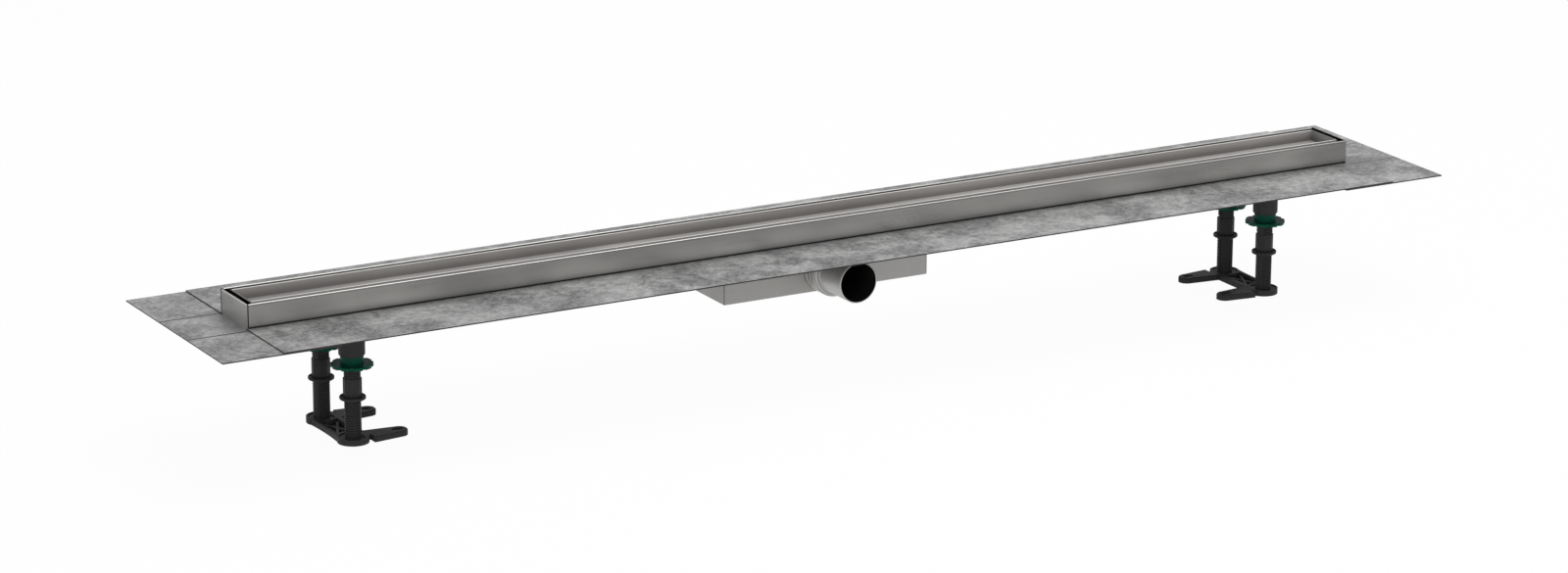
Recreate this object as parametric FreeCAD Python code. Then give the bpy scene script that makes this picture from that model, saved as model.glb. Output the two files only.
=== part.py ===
import FreeCAD, Part
import math
import os

from FreeCAD import Vector

# Linear shower drain: a folded steel channel with wide bonding flanges, a raised frame round a
# tray that takes a tile, a shallow trap box with a side outlet, and four legs that screw up and
# down in pairs. Sizes in millimetres. X runs along the channel, Y to the back and Z up; the
# origin lies on the floor below the middle of the channel. The outlet points to the front, -Y.

# Sheet metal
sheet = 1.5
fold_radius = 1.2
weld_gap = 0.3

# Channel and flanges
channel_length = 1500.0
channel_width = 70.0
flange_height = 150.8
side_flange = 100.0
end_flange = 74.0
tuck_clearance = 38.0
seam_gap = 0.4
seam_half = 39.5
end_setback = 3.0
floor_drop_end = 16.0
floor_drop_sump = 24.0

# Frame round the tray
frame_width = 75.6
frame_rise = 28.6
hem_depth = 12.0
rim_radius = 1.2
frame_seal_height = 1.8
frame_seal_width = 1.4
frame_seal_inset = 0.3
crossbar_width = 20.0
crossbar_thickness = 2.0
crossbar_tab = 12.0
crossbar_inset = 150.0
crossbar_middle = 220.0

# Tray for the tile
tray_width = 54.8
tray_depth = 13.2
tray_drop = 0.2
tray_radius = 1.0
end_slot = 5.4
end_spacer_drop = 1.0
end_spacer_play = 0.3

# Trap box and outlet
sump_length = 278.0
sump_depth = 60.8
outlet_drop = 32.4
outlet_radius = 25.0
outlet_wall = 1.5
outlet_step = 0.5
outlet_stub = 76.0
collar_radius = 30.5
collar_groove = 1.2
collar_rings = (8.0, 6.0, 5.0)
collar_cone = 6.0
collar_lip = 0.4

# Trap insert
trap_wall = 2.0
trap_width = 45.0
trap_inlet_length = 20.0
trap_riser_length = 22.0
trap_right = 30.0
trap_rise_over_spigot = 2.8
spigot_play = 1.6
spigot_into_pipe = 4.5
baffle_gap = 6.0
weir_drop = 4.0
trap_lid_height = 2.0
trap_lid_lip = 2.0
trap_fit = 0.3
grip_length = 24.0
grip_width = 4.0
grip_height = 6.0
strainer_depth = 12.0
strainer_hole_radius = 1.5
strainer_rows = 3
strainer_columns = 7
outlet_seal_width = 2.0

# Legs
leg_inset = 125.0
leg_spacing = 86.0
bracket_width = 34.0
bracket_thickness = 2.0
bracket_half_width = 62.0
bracket_tab = 14.0
stem_radius = 6.0
stem_play = 0.1
snap_head = 1.0
snap_height = 4.0
socket_radius = 15.35
socket_lip_radius = 13.95
socket_chamfer = 2.0
socket_bottom = 103.5
socket_roof = 1.6
nut_radius = 24.5
nut_flange = 3.5
nut_bottom = 91.0
nut_collar_radius = 13.4
nut_spigot = 7.0
nut_lobes = 10
nut_lobe_turn = 29.0
nut_notch_radius = 3.0
nut_notch_offset = 0.7
fit_play = 0.08
thrust_play = 0.05
post_radius = 10.0
post_top = 113.0
post_chamfer = 1.0
post_clear = 0.6
smooth_depth = 0.3
smooth_angle = 70.0
smooth_facing = {"left_front": 150.0, "left_back": 195.0, "right_front": 195.0, "right_back": 240.0}
grip_across = 20.4
grip_bottom = 55.3
grip_top = 77.0
ring_radius = 15.35
ring_thickness = 3.0
ring_groove_depth = 1.2
ring_groove_rim = 1.7

# Foot plates
plate_height = 7.0
plate_recess = 1.2
pad_radius = 18.5
pad_rim = 1.8
pad_floor = 2.0
peg_radius = 7.9
arm_length = 57.3
arm_tip_radius = 10.2
arm_root_half = 14.5
arm_root_reach = 20.5
arm_slot_end = 3.0
arm_bevel = 1.2
web_inner = 18.0
web_outer = 17.5
web_bow = 2.2
window_rim = 3.5
window_inner = 11.5
window_end = 2.0
window_floor = 1.2
rib_width = 3.2
rib_height = 4.6
screw_radius = 3.1
screw_pocket_length = 14.0
screw_pocket_width = 8.4
screw_pocket_depth = 1.4

# Heights and half widths that follow
half_length = channel_length / 2
half_width = channel_width / 2
inner_half = half_width - sheet
trough_half_length = half_length - end_setback
leg_reach = half_length - leg_inset
corner_tuck = leg_inset - bracket_width / 2 - tuck_clearance
flange_half = frame_width / 2 + side_flange
flange_under = flange_height - sheet
plate_half_length = half_length + end_flange
sump_half = sump_length / 2
sump_bottom = flange_height - sump_depth
outlet_z = flange_height - outlet_drop
outlet_reach = half_width + outlet_stub
outlet_neck = outlet_radius - outlet_step
frame_half = frame_width / 2
rail_inner = frame_half - sheet
hem_inner = frame_half - 2 * sheet
frame_top = flange_height + frame_rise
tray_top = frame_top - tray_drop
tray_floor = frame_top - tray_depth
tray_under = tray_floor - sheet
hem_end = half_length - 2 * sheet
tray_half_length = hem_end - end_slot
tray_half = tray_width / 2
floor_end_z = flange_height - floor_drop_end
floor_sump_z = flange_height - floor_drop_sump
leg_y = leg_spacing / 2
socket_shoulder = socket_bottom + nut_spigot
crossbar_end = half_length - crossbar_inset
crossbar_places = (-crossbar_end, -crossbar_middle, crossbar_middle, crossbar_end)


def box(x0, x1, y0, y1, z0, z1):
    """A block between two corners."""
    return Part.makeBox(x1 - x0, y1 - y0, z1 - z0, Vector(x0, y0, z0))


def upright(radius, z0, z1, x=0.0, y=0.0):
    """A cylinder that stands on height z0."""
    return Part.makeCylinder(radius, z1 - z0, Vector(x, y, z0), Vector(0, 0, 1))


def lying(radius, y0, y1, x=0.0, z=0.0):
    """A cylinder along Y."""
    return Part.makeCylinder(radius, y1 - y0, Vector(x, y0, z), Vector(0, 1, 0))


def face_of(points):
    """A flat face inside a closed outline of corner points."""
    return Part.Face(Part.makePolygon(points + points[:1]))


def prism_x(outline, x0, x1):
    """An outline of (y, z) corners drawn along X."""
    face = face_of([Vector(x0, y, z) for y, z in outline])
    return face.extrude(Vector(x1 - x0, 0, 0))


def prism_y(outline, y0, y1):
    """An outline of (x, z) corners drawn along Y."""
    face = face_of([Vector(x, y0, z) for x, z in outline])
    return face.extrude(Vector(0, y1 - y0, 0))


def turned_z(outline, x=0.0, y=0.0):
    """An outline of (radius, z) corners turned round an upright axis."""
    face = face_of([Vector(x + r, y, z) for r, z in outline])
    return face.revolve(Vector(x, y, 0), Vector(0, 0, 1), 360)


def turned_y(outline, x, z):
    """An outline of (radius, y) corners turned round an axis along Y."""
    face = face_of([Vector(x + r, y, z) for r, y in outline])
    return face.revolve(Vector(x, 0, z), Vector(0, 1, 0), 360)


def rounded(shape, radius, chosen):
    """The shape with a fillet on each edge that the test picks."""
    edges = [edge for edge in shape.Edges if chosen(edge)]
    return shape.makeFillet(radius, edges)


def edge_through(edge, x=None, y=None, z=None, near=0.01):
    """True where every end of a straight edge lies on the given coordinates."""
    for vertex in edge.Vertexes:
        place = vertex.Point
        if x is not None and abs(abs(place.x) - x) > near:
            return False
        if y is not None and abs(abs(place.y) - y) > near:
            return False
        if z is not None and abs(place.z - z) > near:
            return False
    return len(edge.Vertexes) == 2


def other_end(shape):
    """The same piece at the other end of the channel."""
    return shape.mirror(Vector(0, 0, 0), Vector(1, 0, 0))


def other_side(shape):
    """The same piece on the back of the channel."""
    return shape.mirror(Vector(0, 0, 0), Vector(0, 1, 0))


def floor_top(x):
    """Height of the sloping channel floor at a place along the channel."""
    run = trough_half_length - sump_half
    share = (abs(x) - sump_half) / run
    return floor_sump_z + (floor_end_z - floor_sump_z) * share


def trough_outline(lift, top):
    """Side view of the trough, its floor falling from both ends to the trap box."""
    return [
        (-trough_half_length, top),
        (-trough_half_length, floor_end_z + lift),
        (-sump_half, floor_sump_z + lift),
        (sump_half, floor_sump_z + lift),
        (trough_half_length, floor_end_z + lift),
        (trough_half_length, top),
    ]


def channel_body():
    """Folded sheet: trough with a falling floor, and the long flanges bent out at its top."""
    outside = prism_y(trough_outline(-sheet, flange_height), -half_width, half_width)
    hollow = prism_y(trough_outline(0.0, flange_height + sheet), -inner_half, inner_half)
    shape = outside.cut(hollow)
    front = box(-half_length, half_length, -flange_half, -inner_half, flange_under, flange_height)
    shape = shape.fuse([front, other_side(front)])
    wall_gap = box(-sump_half, sump_half, -half_width - 1, half_width + 1, sump_bottom, flange_under)
    floor_left = box(-sump_half, -sump_half + sheet, -inner_half, inner_half,
                     floor_sump_z - sheet, floor_sump_z)
    shape = shape.cut(wall_gap.cut([floor_left, other_end(floor_left)]))
    shape = shape.removeSplitter()
    return rounded(shape, fold_radius,
                   lambda edge: edge_through(edge, y=inner_half, z=flange_height)
                   and edge.Length > channel_length - 1)


def end_cap():
    """End wall of the trough with its strip of flange, one sheet below the long flanges."""
    top = flange_under
    outline = [
        (trough_half_length, floor_end_z - sheet),
        (trough_half_length + sheet, floor_end_z - sheet),
        (trough_half_length + sheet, top - sheet),
        (plate_half_length, top - sheet),
        (plate_half_length, top),
        (trough_half_length, top),
    ]
    strip_half = seam_half - seam_gap / 2
    shape = prism_y(outline, -strip_half, strip_half)
    low = box(0, plate_half_length, half_width, seam_half, 0, top - sheet)
    shape = shape.cut([low, other_side(low)])
    return rounded(shape, fold_radius,
                   lambda edge: edge_through(edge, x=trough_half_length, z=top))


def corner_plate():
    """Flat corner sheet at the right front, tucked under the long flange."""
    return box(half_length - corner_tuck, plate_half_length,
               -flange_half, -seam_half - seam_gap / 2,
               flange_under - sheet, flange_under)


def frame_rail():
    """Front rail of the frame, its top edge hemmed inwards to a double thickness."""
    foot = flange_height + frame_seal_height
    hem_foot = frame_top - hem_depth
    outline = [
        (-frame_half, foot),
        (-rail_inner, foot),
        (-rail_inner, hem_foot),
        (-hem_inner, hem_foot),
        (-hem_inner, frame_top),
        (-frame_half, frame_top),
    ]
    reach = half_length - sheet - weld_gap
    shape = prism_x(outline, -reach, reach)
    shape = rounded(shape, rim_radius,
                    lambda edge: edge_through(edge, z=frame_top) and edge.Length > channel_length / 2)
    hem_cut = box(hem_end - weld_gap, half_length, -rail_inner, 0, foot, frame_top)
    return shape.cut([hem_cut, other_end(hem_cut)])


def frame_end():
    """Right end of the frame, hemmed as the rails are and notched over the long flanges."""
    hem_foot = frame_top - hem_depth
    outline = [
        (half_length, flange_under),
        (half_length - sheet, flange_under),
        (half_length - sheet, hem_foot),
        (hem_end, hem_foot),
        (hem_end, frame_top),
        (half_length, frame_top),
    ]
    half = rail_inner - weld_gap
    shape = prism_y(outline, -half, half)
    shape = rounded(shape, rim_radius,
                    lambda edge: edge_through(edge, z=frame_top) and edge.Length > frame_half)
    notch = box(0, plate_half_length, inner_half - weld_gap, frame_half, 0, flange_height)
    return shape.cut([notch, other_side(notch)])


def frame_seal():
    """Strip of sealing rubber between the front rail and the flange."""
    reach = half_length - sheet - weld_gap
    outer = frame_half - frame_seal_inset
    return box(-reach, reach, -outer, -outer + frame_seal_width,
               flange_height, flange_height + frame_seal_height)


def crossbar(x):
    """Folded bar between the rails that carries the tray."""
    outer = rail_inner - trap_fit / 3
    low = tray_under - crossbar_tab
    under = tray_under - crossbar_thickness
    inner = outer - sheet
    outline = [
        (-outer, low),
        (-inner, low),
        (-inner, under),
        (inner, under),
        (inner, low),
        (outer, low),
        (outer, tray_under),
        (-outer, tray_under),
    ]
    return prism_x(outline, x - crossbar_width / 2, x + crossbar_width / 2)


def cover_tray():
    """Long shallow tray of folded sheet that holds the tile."""
    outside = box(-tray_half_length, tray_half_length, -tray_half, tray_half, tray_under, tray_top)
    outside = rounded(outside, tray_radius, lambda edge: edge_through(edge, z=tray_under))
    hollow = box(-tray_half_length + sheet, tray_half_length - sheet,
                 -tray_half + sheet, tray_half - sheet, tray_floor, tray_top + sheet)
    return outside.cut(hollow)


def end_spacer():
    """Black block in the right end slot, between the tray and the frame."""
    half = hem_inner - end_spacer_play / 3
    return box(tray_half_length + end_spacer_play, hem_end, -half, half,
               tray_under, frame_top - end_spacer_drop)


def trap_sump():
    """Open box under the channel; its long walls reach up to the flanges."""
    outside = box(-sump_half, sump_half, -half_width, half_width, sump_bottom, flange_under)
    outside = rounded(outside, fold_radius, lambda edge: edge_through(edge, z=sump_bottom))
    inside = box(-sump_half + sheet, sump_half - sheet, -inner_half, inner_half,
                 sump_bottom + sheet, flange_height)
    doorway = box(-sump_half, sump_half, -inner_half, inner_half,
                  floor_sump_z - sheet, flange_height)
    hole = lying(outlet_neck, -half_width - sheet, -inner_half + sheet, 0, outlet_z)
    return outside.cut([inside, doorway, hole])


def outlet_collar():
    """Collar with turned rings and a cone, which joins the outlet pipe to the trap box."""
    face = -half_width
    neck = collar_radius - collar_groove
    outline = [(outlet_neck, face), (neck, face)]
    for length in collar_rings:
        outline.append((neck, face - collar_groove))
        outline.append((collar_radius, face - collar_groove))
        outline.append((collar_radius, face - collar_groove - length))
        outline.append((neck, face - collar_groove - length))
        face = face - collar_groove - length
    outline.append((outlet_radius + collar_lip, face - collar_cone))
    outline.append((outlet_neck, face - collar_cone))
    return turned_y(outline, 0, outlet_z)


def outlet_pipe():
    """Straight stub of steel pipe that a 50 mm socket goes over, a little thinner in its collar."""
    collar_end = -half_width - sum(collar_rings) - len(collar_rings) * collar_groove - collar_cone
    outline = [
        (outlet_radius - outlet_wall, -inner_half),
        (outlet_neck, -inner_half),
        (outlet_neck, collar_end),
        (outlet_radius, collar_end),
        (outlet_radius, -outlet_reach + outlet_wall / 3),
        (outlet_radius - outlet_wall / 3, -outlet_reach),
        (outlet_radius - outlet_wall, -outlet_reach),
    ]
    return turned_y(outline, 0, outlet_z)


# Places inside the trap, from its inlet on the left to its outlet chamber
trap_half = trap_width / 2
trap_floor = sump_bottom + sheet
trap_inside = trap_floor + trap_wall
pipe_inner = outlet_radius - outlet_wall
spigot_radius = pipe_inner - spigot_play
trap_top = outlet_z + spigot_radius + trap_rise_over_spigot
inlet_top = floor_sump_z
weir_x = -trap_right + trap_wall
baffle_x = weir_x - trap_riser_length
inlet_x = baffle_x - trap_inlet_length


def trap_housing():
    """Moulded trap: inlet shaft, baffle, riser, weir and outlet chamber with its spigot."""
    outline = [
        (inlet_x, trap_floor),
        (trap_right, trap_floor),
        (trap_right, trap_top),
        (baffle_x, trap_top),
        (baffle_x, inlet_top),
        (inlet_x, inlet_top),
    ]
    shape = prism_y(outline, -trap_half, trap_half)
    spigot_end = -inner_half - spigot_into_pipe
    shape = shape.fuse(lying(spigot_radius, spigot_end, -trap_half + trap_wall, 0, outlet_z))
    half = trap_half - trap_wall
    over = trap_top + trap_wall
    inlet = box(inlet_x + trap_wall, baffle_x, -half, half, trap_inside, over)
    under_baffle = box(baffle_x, baffle_x + trap_wall, -half, half,
                       trap_inside, trap_inside + baffle_gap)
    riser = box(baffle_x + trap_wall, weir_x - trap_wall, -half, half, trap_inside, over)
    over_weir = box(weir_x - trap_wall, weir_x, -half, half, inlet_top - weir_drop, over)
    chamber = box(weir_x, trap_right - trap_wall, -half, half, trap_inside, over)
    bore = lying(spigot_radius - trap_wall, spigot_end - trap_wall, -half, 0, outlet_z)
    return shape.cut([inlet, under_baffle, riser, over_weir, chamber, bore])


def trap_lid():
    """Lid over the riser and the outlet chamber, with a bar to lift the trap by."""
    plate = box(baffle_x, trap_right, -trap_half, trap_half, trap_top, trap_top + trap_lid_height)
    half = trap_half - trap_wall - trap_fit
    lip = box(baffle_x + trap_wall + trap_fit, trap_right - trap_wall - trap_fit,
              -half, half, trap_top - trap_lid_lip, trap_top)
    hollow_half = half - trap_wall
    hollow = box(baffle_x + 2 * trap_wall, trap_right - 2 * trap_wall, -hollow_half, hollow_half,
                 trap_top - trap_lid_lip, trap_top)
    roof = trap_top + trap_lid_height
    middle = (baffle_x + trap_right) / 2
    grip = box(middle - grip_length / 2, middle + grip_length / 2,
               -grip_width / 2, grip_width / 2, roof, roof + grip_height)
    finger = lying(grip_height * 0.6, -grip_width, grip_width, middle, roof)
    return plate.fuse([lip.cut(hollow), grip.cut(finger)]).removeSplitter()


def outlet_seal():
    """Rubber ring between the trap's spigot and the outlet pipe."""
    near = -inner_half - spigot_into_pipe + outlet_seal_width / 2
    far = near + outlet_seal_width
    outline = [
        (spigot_radius, near),
        (pipe_inner, near),
        (pipe_inner, far),
        (spigot_radius, far),
    ]
    return turned_y(outline, 0, outlet_z)


def hair_strainer():
    """Perforated cup that hangs in the trap's inlet shaft."""
    left = inlet_x + trap_wall + trap_fit
    right = baffle_x - trap_fit
    half = trap_half - trap_wall - trap_fit
    rim = box(inlet_x, baffle_x - trap_fit, -trap_half, trap_half, inlet_top, inlet_top + sheet)
    cup = box(left, right, -half, half, inlet_top - strainer_depth, inlet_top)
    hollow = box(left + sheet, right - sheet, -half + sheet, half - sheet,
                 inlet_top - strainer_depth + sheet, inlet_top + 2 * sheet)
    shape = rim.fuse(cup).cut(hollow)
    holes = []
    for row in range(strainer_rows):
        for column in range(strainer_columns):
            x = left + (right - left) * (row + 1) / (strainer_rows + 1)
            y = -half + 2 * half * (column + 1) / (strainer_columns + 1)
            holes.append(upright(strainer_hole_radius, trap_floor, inlet_top, x, y))
    return shape.cut(holes).removeSplitter()


# Heights of the leg pieces that hang from the channel
bracket_top = floor_top(leg_reach - bracket_width / 2) - sheet
bracket_under = bracket_top - bracket_thickness


def foot_bracket():
    """Strap of folded steel under the right end of the trough, tabs against the flanges."""
    outer = bracket_half_width
    inner = outer - bracket_thickness
    tab = outer + bracket_tab
    outline = [
        (-tab, flange_under),
        (-inner, flange_under),
        (-inner, bracket_top),
        (inner, bracket_top),
        (inner, flange_under),
        (tab, flange_under),
        (tab, flange_under - bracket_thickness),
        (outer, flange_under - bracket_thickness),
        (outer, bracket_under),
        (-outer, bracket_under),
        (-outer, flange_under - bracket_thickness),
        (-tab, flange_under - bracket_thickness),
    ]
    shape = prism_x(outline, leg_reach - bracket_width / 2, leg_reach + bracket_width / 2)
    hole_radius = stem_radius + stem_play
    holes = [upright(hole_radius, bracket_under - 1, bracket_top + 1, leg_reach, side * leg_y)
             for side in (-1, 1)]
    return shape.cut(holes)


def leg_socket(x, y):
    """Black socket that snaps into the strap and turns on the collar of the nut."""
    bore = nut_collar_radius + fit_play
    shaft_bore = post_radius + post_clear
    head = bracket_top + stem_play / 2
    outline = [
        (bore, socket_bottom),
        (socket_lip_radius, socket_bottom),
        (socket_radius, socket_bottom + socket_chamfer),
        (socket_radius, bracket_under),
        (stem_radius, bracket_under),
        (stem_radius, head),
        (stem_radius + snap_head, head),
        (stem_radius + snap_head, head + snap_height / 3),
        (stem_radius - snap_head, head + snap_height),
        (0, head + snap_height),
        (0, bracket_under - socket_roof),
        (shaft_bore, bracket_under - socket_roof),
        (shaft_bore, socket_shoulder),
        (bore, socket_shoulder),
    ]
    return turned_z(outline, x, y)


def adjusting_nut(x, y):
    """Green nut: scalloped flange to turn by hand, and a collar that runs in the socket."""
    top = socket_shoulder - thrust_play
    flange_top = nut_bottom + nut_flange
    shape = upright(nut_radius, nut_bottom, flange_top, x, y)
    notches = []
    for lobe in range(nut_lobes):
        angle = math.radians(nut_lobe_turn + 360.0 * lobe / nut_lobes)
        reach = nut_radius + nut_notch_offset
        notches.append(upright(nut_notch_radius, nut_bottom - 1, flange_top + 1,
                               x + reach * math.cos(angle), y + reach * math.sin(angle)))
    shape = shape.cut(notches)
    shape = shape.fuse(upright(nut_collar_radius, flange_top, top, x, y))
    shape = shape.cut(upright(post_radius + fit_play, nut_bottom - 1, top + 1, x, y))
    return shape.removeSplitter()


def smooth_sector(x, y, facing, z0, z1):
    """The space outside a stretch of the post where its thread is interrupted."""
    inner = post_radius - smooth_depth
    outer = post_radius + smooth_depth
    start = math.radians(facing - smooth_angle / 2)
    end = math.radians(facing + smooth_angle / 2)
    middle = (start + end) / 2

    def at(radius, angle):
        return Vector(x + radius * math.cos(angle), y + radius * math.sin(angle), z0)

    edges = [
        Part.Arc(at(inner, start), at(inner, middle), at(inner, end)).toShape(),
        Part.LineSegment(at(inner, end), at(outer, end)).toShape(),
        Part.Arc(at(outer, end), at(outer, middle), at(outer, start)).toShape(),
        Part.LineSegment(at(outer, start), at(inner, start)).toShape(),
    ]
    return Part.Face(Part.Wire(edges)).extrude(Vector(0, 0, z1 - z0))


def threaded_post(x, y, facing):
    """Moulded post: threaded shaft with smooth sides, ring, and an eight-sided grip."""
    seat = plate_height - plate_recess
    ring_bottom = grip_bottom - ring_thickness
    shaft = upright(post_radius, seat, post_top, x, y)
    shaft = shaft.makeChamfer(post_chamfer, [edge for edge in shaft.Edges
                                             if edge.BoundBox.ZMin > post_top - post_chamfer])
    cuts = []
    for turn in (0.0, 180.0):
        cuts.append(smooth_sector(x, y, facing + turn, seat, ring_bottom))
        cuts.append(smooth_sector(x, y, facing + turn, grip_top, post_top))
    shaft = shaft.cut(cuts)
    ring = turned_z([
        (0, ring_bottom),
        (ring_radius - ring_groove_depth / 2, ring_bottom),
        (ring_radius, ring_bottom + ring_groove_depth / 2),
        (ring_radius, grip_bottom - ring_groove_depth / 2),
        (ring_radius - ring_groove_depth / 2, grip_bottom),
        (ring_radius - ring_groove_rim, grip_bottom),
        (ring_radius - ring_groove_rim, grip_bottom - ring_groove_depth),
        (0, grip_bottom - ring_groove_depth),
    ], x, y)
    corner = grip_across / 2 / math.cos(math.pi / 8)
    corners = []
    for side in range(8):
        angle = math.radians(facing) + math.pi / 4 * side
        corners.append(Vector(x + corner * math.cos(angle), y + corner * math.sin(angle),
                              grip_bottom - ring_groove_depth))
    grip = face_of(corners).extrude(Vector(0, 0, grip_top - grip_bottom + ring_groove_depth))
    peg = upright(peg_radius, pad_floor + thrust_play, seat, x, y)
    return shaft.fuse([ring, grip, peg]).removeSplitter()


def obround(length, width, x, y, z0, z1):
    """A slot shape along X with round ends."""
    half = (length - width) / 2
    radius = width / 2
    bar = box(x - half, x + half, y - radius, y + radius, z0, z1)
    return bar.fuse([upright(radius, z0, z1, x - half, y), upright(radius, z0, z1, x + half, y)])


def tip_touch(root_x, root_half):
    """Where a straight arm edge from its root meets the round tip, along and across."""
    along = arm_length - root_x
    reach = math.hypot(along, root_half)
    lean = math.atan2(root_half, along)
    swing = math.acos(arm_tip_radius / reach)
    angle = math.pi - lean - swing
    return arm_length + arm_tip_radius * math.cos(angle), arm_tip_radius * math.sin(angle)


def plate_arm(y, outward):
    """Tapered arm with a round tip, its outer half parted from the pad by a slot.

    Outward is the sign of Y that points off the plate.
    """
    root_x, inner_root_x = arm_root_reach, web_inner
    outer_tip = tip_touch(root_x, arm_root_half)
    inner_tip = tip_touch(inner_root_x, arm_root_half)

    def at(along, across):
        return Vector(along, y + outward * across, 0)

    edges = [
        Part.LineSegment(at(0, 0), at(root_x, arm_slot_end)).toShape(),
        Part.LineSegment(at(root_x, arm_slot_end), at(root_x, arm_root_half)).toShape(),
        Part.LineSegment(at(root_x, arm_root_half), at(*outer_tip)).toShape(),
        Part.Arc(at(*outer_tip), at(arm_length + arm_tip_radius, 0),
                 at(inner_tip[0], -inner_tip[1])).toShape(),
        Part.LineSegment(at(inner_tip[0], -inner_tip[1]),
                         at(inner_root_x, -arm_root_half)).toShape(),
        Part.LineSegment(at(inner_root_x, -arm_root_half), at(0, -arm_root_half)).toShape(),
        Part.LineSegment(at(0, -arm_root_half), at(0, 0)).toShape(),
    ]
    arm = Part.Face(Part.Wire(edges)).extrude(Vector(0, 0, plate_height))
    if arm.Volume < 0:
        arm.reverse()

    def on_top_side(edge):
        middle = edge.valueAt((edge.FirstParameter + edge.LastParameter) / 2)
        return middle.z > plate_height - 0.01 and middle.x > root_x + arm_bevel

    return arm.makeChamfer(arm_bevel, [edge for edge in arm.Edges if on_top_side(edge)])


def plate_web():
    """Plate between the two pads, its outer edge drawn slightly inwards."""
    edges = [
        Part.LineSegment(Vector(-web_outer, leg_y, 0), Vector(web_inner, leg_y, 0)).toShape(),
        Part.LineSegment(Vector(web_inner, leg_y, 0), Vector(web_inner, -leg_y, 0)).toShape(),
        Part.LineSegment(Vector(web_inner, -leg_y, 0), Vector(-web_outer, -leg_y, 0)).toShape(),
        Part.Arc(Vector(-web_outer, -leg_y, 0), Vector(-web_outer + web_bow, 0, 0),
                 Vector(-web_outer, leg_y, 0)).toShape(),
    ]
    return Part.Face(Part.Wire(edges)).extrude(Vector(0, 0, plate_height))


def lattice_rib(x0, x1, half, lean):
    """Rib across the window from one corner to the other."""
    middle = (x0 + x1) / 2
    length = math.hypot(x1 - x0, 2 * half) + rib_width
    rib = box(-length / 2, length / 2, -rib_width / 2, rib_width / 2, 0, rib_height)
    rib.rotate(Vector(0, 0, 0), Vector(0, 0, 1), lean * math.degrees(math.atan2(2 * half, x1 - x0)))
    rib.translate(Vector(middle, 0, 0))
    return rib


def foot_plate():
    """Foot plate of the left legs: two pads, two screw arms and a lattice web between them."""
    pads = [upright(pad_radius, 0, plate_height, 0, side * leg_y) for side in (-1, 1)]
    arms = [plate_arm(-leg_y, -1), plate_arm(leg_y, 1)]
    shape = plate_web().fuse(pads + arms).removeSplitter()
    window_x0 = -web_outer + web_bow + window_rim
    window = box(window_x0, window_inner, -leg_y, leg_y, window_floor, plate_height)
    window = window.cut([upright(pad_radius + window_end, 0, plate_height, 0, side * leg_y)
                         for side in (-1, 1)])
    window_half = leg_y - math.sqrt((pad_radius + window_end) ** 2 - window_inner ** 2)
    ribs = [lattice_rib(window_x0, window_inner, window_half, lean) for lean in (-1, 1)]
    ribs = [rib.common(window) for rib in ribs]
    shape = shape.cut(window).fuse(ribs).removeSplitter()
    cuts = []
    recess_z = plate_height - plate_recess
    for side in (-1, 1):
        y = side * leg_y
        ring = upright(pad_radius - pad_rim, recess_z, plate_height + 1, 0, y)
        cuts.append(ring.common(box(-pad_radius, post_radius + 1, y - pad_radius, y + pad_radius,
                                    recess_z, plate_height + 1)))
        cuts.append(upright(peg_radius + fit_play, pad_floor, plate_height, 0, y))
        cuts.append(upright(screw_radius, -1, plate_height + 1, arm_length, y))
        cuts.append(obround(screw_pocket_length, screw_pocket_width, arm_length - arm_tip_radius / 5,
                            y, plate_height - screw_pocket_depth, plate_height + 1))
    shape = shape.cut(cuts).removeSplitter()
    shape.translate(Vector(-leg_reach, 0, 0))
    return shape


def all_parts():
    """Every piece of the drain by its name."""
    parts = {
        "channel_body": channel_body(),
        "trap_sump": trap_sump(),
        "outlet_collar": outlet_collar(),
        "outlet_pipe": outlet_pipe(),
        "trap_housing": trap_housing(),
        "trap_lid": trap_lid(),
        "outlet_seal": outlet_seal(),
        "hair_strainer": hair_strainer(),
        "cover_tray": cover_tray(),
        "frame_rail_front": frame_rail(),
        "frame_rail_back": other_side(frame_rail()),
        "frame_seal_front": frame_seal(),
        "frame_seal_back": other_side(frame_seal()),
        "end_cap_right": end_cap(),
        "end_cap_left": other_end(end_cap()),
        "corner_plate_right_front": corner_plate(),
        "corner_plate_right_back": other_side(corner_plate()),
        "corner_plate_left_front": other_end(corner_plate()),
        "corner_plate_left_back": other_end(other_side(corner_plate())),
        "frame_end_right": frame_end(),
        "frame_end_left": other_end(frame_end()),
        "end_spacer_right": end_spacer(),
        "end_spacer_left": other_end(end_spacer()),
        "foot_bracket_right": foot_bracket(),
        "foot_bracket_left": other_end(foot_bracket()),
        "foot_plate_left": foot_plate(),
        "foot_plate_right": other_end(foot_plate()),
    }
    for number, x in enumerate(crossbar_places, 1):
        parts["frame_crossbar_%d" % number] = crossbar(x)
    for end, along in (("left", -leg_reach), ("right", leg_reach)):
        for side, across in (("front", -leg_y), ("back", leg_y)):
            place = end + "_" + side
            parts["leg_socket_" + place] = leg_socket(along, across)
            parts["adjusting_nut_" + place] = adjusting_nut(along, across)
            parts["threaded_post_" + place] = threaded_post(along, across, smooth_facing[place])
    return parts


def main():
    """Writes one file for each piece."""
    os.makedirs("parts", exist_ok=True)
    for name, shape in all_parts().items():
        shape.exportStep("parts/" + name + ".step")
        print(name, len(shape.Solids), shape.isValid(), round(shape.Volume, 1))


main()
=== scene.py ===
"""Finishes, screw threads, studio and camera for a long shower drain on four screw legs."""

import math

import bpy
from bpy.props import FloatProperty, FloatVectorProperty, IntProperty, PointerProperty
from bpy.types import Operator, Panel, PropertyGroup
from mathutils import Matrix, Vector


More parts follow.
